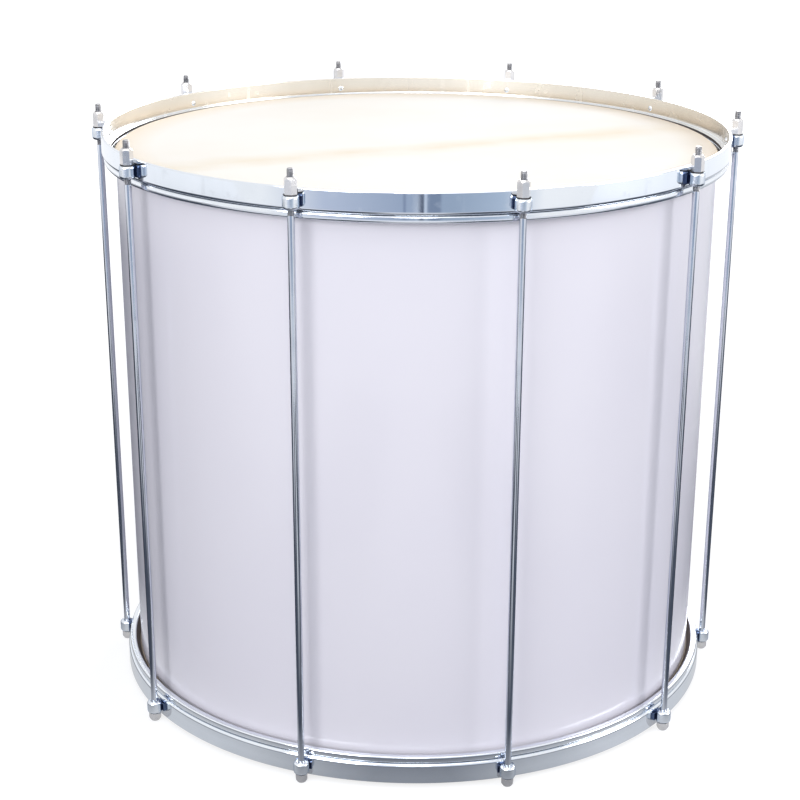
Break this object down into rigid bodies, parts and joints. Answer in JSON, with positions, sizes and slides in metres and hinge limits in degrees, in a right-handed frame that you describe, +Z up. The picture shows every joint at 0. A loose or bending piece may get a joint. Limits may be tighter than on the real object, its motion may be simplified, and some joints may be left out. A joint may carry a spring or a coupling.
{
  "type": "surdo",
  "caption": "Deep cylindrical samba bass drum with natural skins, bright counterhoops and long tuning rods whose sleeve nuts draw the two hoops together.",
  "frame": {"origin": "on the floor under the middle of the drum, where its lower nuts stand, at the drum's axis", "axes": "+Z up along the drum's axis from the resonant end to the batter end; -Y towards the front, which has one rod 19.5 degrees to the viewer's left and one 16.5 degrees to the right"},
  "size_m": [0.6102, 0.5864, 0.5538],
  "materials": {
    "shell": "gloss lavender-white paint",
    "skin": "natural scraped skin, cream",
    "flesh_hoop": "bright chrome plate",
    "counterhoop": "bright chrome plate",
    "ear": "bright chrome plate",
    "rod": "bright chrome plate",
    "nut": "bright plated steel"
  },
  "bodies": {
    "lower_set": {"resonant_counterhoop": "counterhoop", "resonant_flesh_hoop": "flesh_hoop", "resonant_ear_01": "ear", "resonant_ear_02": "ear", "resonant_ear_03": "ear", "resonant_ear_04": "ear", "resonant_ear_05": "ear", "resonant_ear_06": "ear", "resonant_ear_07": "ear", "resonant_ear_08": "ear", "resonant_ear_09": "ear", "resonant_ear_10": "ear", "rod_01": "rod", "rod_02": "rod", "rod_03": "rod", "rod_04": "rod", "rod_05": "rod", "rod_06": "rod", "rod_07": "rod", "rod_08": "rod", "rod_09": "rod", "rod_10": "rod", "foot_nut_01": "nut", "foot_nut_02": "nut", "foot_nut_03": "nut", "foot_nut_04": "nut", "foot_nut_05": "nut", "foot_nut_06": "nut", "foot_nut_07": "nut", "foot_nut_08": "nut", "foot_nut_09": "nut", "foot_nut_10": "nut"},
    "shell_set": {"shell": "shell", "batter_head": "skin", "resonant_head": "skin"},
    "batter_hoop": {"batter_counterhoop": "counterhoop", "batter_flesh_hoop": "flesh_hoop", "batter_ear_01": "ear", "batter_ear_02": "ear", "batter_ear_03": "ear", "batter_ear_04": "ear", "batter_ear_05": "ear", "batter_ear_06": "ear", "batter_ear_07": "ear", "batter_ear_08": "ear", "batter_ear_09": "ear", "batter_ear_10": "ear"},
    "tuning_nut_01": {"nut_01": "nut"},
    "tuning_nut_02": {"nut_02": "nut"},
    "tuning_nut_03": {"nut_03": "nut"},
    "tuning_nut_04": {"nut_04": "nut"},
    "tuning_nut_05": {"nut_05": "nut"},
    "tuning_nut_06": {"nut_06": "nut"},
    "tuning_nut_07": {"nut_07": "nut"},
    "tuning_nut_08": {"nut_08": "nut"},
    "tuning_nut_09": {"nut_09": "nut"},
    "tuning_nut_10": {"nut_10": "nut"}
  },
  "joints": [
    {"name": "shell_shift", "type": "slide", "parent": "lower_set", "child": "shell_set", "axis": [0, 0, 1], "range_m": [-0.0025, 0.001]},
    {"name": "batter_hoop_shift", "type": "slide", "parent": "shell_set", "child": "batter_hoop", "axis": [0, 0, 1], "range_m": [-0.0025, 0.001]},
    {"name": "nut_01_turn", "type": "hinge", "parent": "batter_hoop", "child": "tuning_nut_01", "pos_m": [-0.09964, -0.28138, 0.5329], "axis": [0, 0, 1], "range_deg": [-1800, 720]},
    {"name": "nut_02_turn", "type": "hinge", "parent": "batter_hoop", "child": "tuning_nut_02", "pos_m": [0.08478, -0.28621, 0.5329], "axis": [0, 0, 1], "range_deg": [-1800, 720]},
    {"name": "nut_03_turn", "type": "hinge", "parent": "batter_hoop", "child": "tuning_nut_03", "pos_m": [0.23682, -0.18171, 0.5329], "axis": [0, 0, 1], "range_deg": [-1800, 720]},
    {"name": "nut_04_turn", "type": "hinge", "parent": "batter_hoop", "child": "tuning_nut_04", "pos_m": [0.2984, -0.00781, 0.5329], "axis": [0, 0, 1], "range_deg": [-1800, 720]},
    {"name": "nut_05_turn", "type": "hinge", "parent": "batter_hoop", "child": "tuning_nut_05", "pos_m": [0.246, 0.16907, 0.5329], "axis": [0, 0, 1], "range_deg": [-1800, 720]},
    {"name": "nut_06_turn", "type": "hinge", "parent": "batter_hoop", "child": "tuning_nut_06", "pos_m": [0.09964, 0.28138, 0.5329], "axis": [0, 0, 1], "range_deg": [-1800, 720]},
    {"name": "nut_07_turn", "type": "hinge", "parent": "batter_hoop", "child": "tuning_nut_07", "pos_m": [-0.08478, 0.28621, 0.5329], "axis": [0, 0, 1], "range_deg": [-1800, 720]},
    {"name": "nut_08_turn", "type": "hinge", "parent": "batter_hoop", "child": "tuning_nut_08", "pos_m": [-0.23682, 0.18171, 0.5329], "axis": [0, 0, 1], "range_deg": [-1800, 720]},
    {"name": "nut_09_turn", "type": "hinge", "parent": "batter_hoop", "child": "tuning_nut_09", "pos_m": [-0.2984, 0.00781, 0.5329], "axis": [0, 0, 1], "range_deg": [-1800, 720]},
    {"name": "nut_10_turn", "type": "hinge", "parent": "batter_hoop", "child": "tuning_nut_10", "pos_m": [-0.246, -0.16907, 0.5329], "axis": [0, 0, 1], "range_deg": [-1800, 720]}
  ],
  "couplings": [
    {"joint": "batter_hoop_shift", "follows": "shell_shift", "ratio": 1},
    {"joint": "nut_01_turn", "follows": "shell_shift", "rad_per_m": 12566},
    {"joint": "nut_02_turn", "follows": "shell_shift", "rad_per_m": 12566},
    {"joint": "nut_03_turn", "follows": "shell_shift", "rad_per_m": 12566},
    {"joint": "nut_04_turn", "follows": "shell_shift", "rad_per_m": 12566},
    {"joint": "nut_05_turn", "follows": "shell_shift", "rad_per_m": 12566},
    {"joint": "nut_06_turn", "follows": "shell_shift", "rad_per_m": 12566},
    {"joint": "nut_07_turn", "follows": "shell_shift", "rad_per_m": 12566},
    {"joint": "nut_08_turn", "follows": "shell_shift", "rad_per_m": 12566},
    {"joint": "nut_09_turn", "follows": "shell_shift", "rad_per_m": 12566},
    {"joint": "nut_10_turn", "follows": "shell_shift", "rad_per_m": 12566}
  ]
}
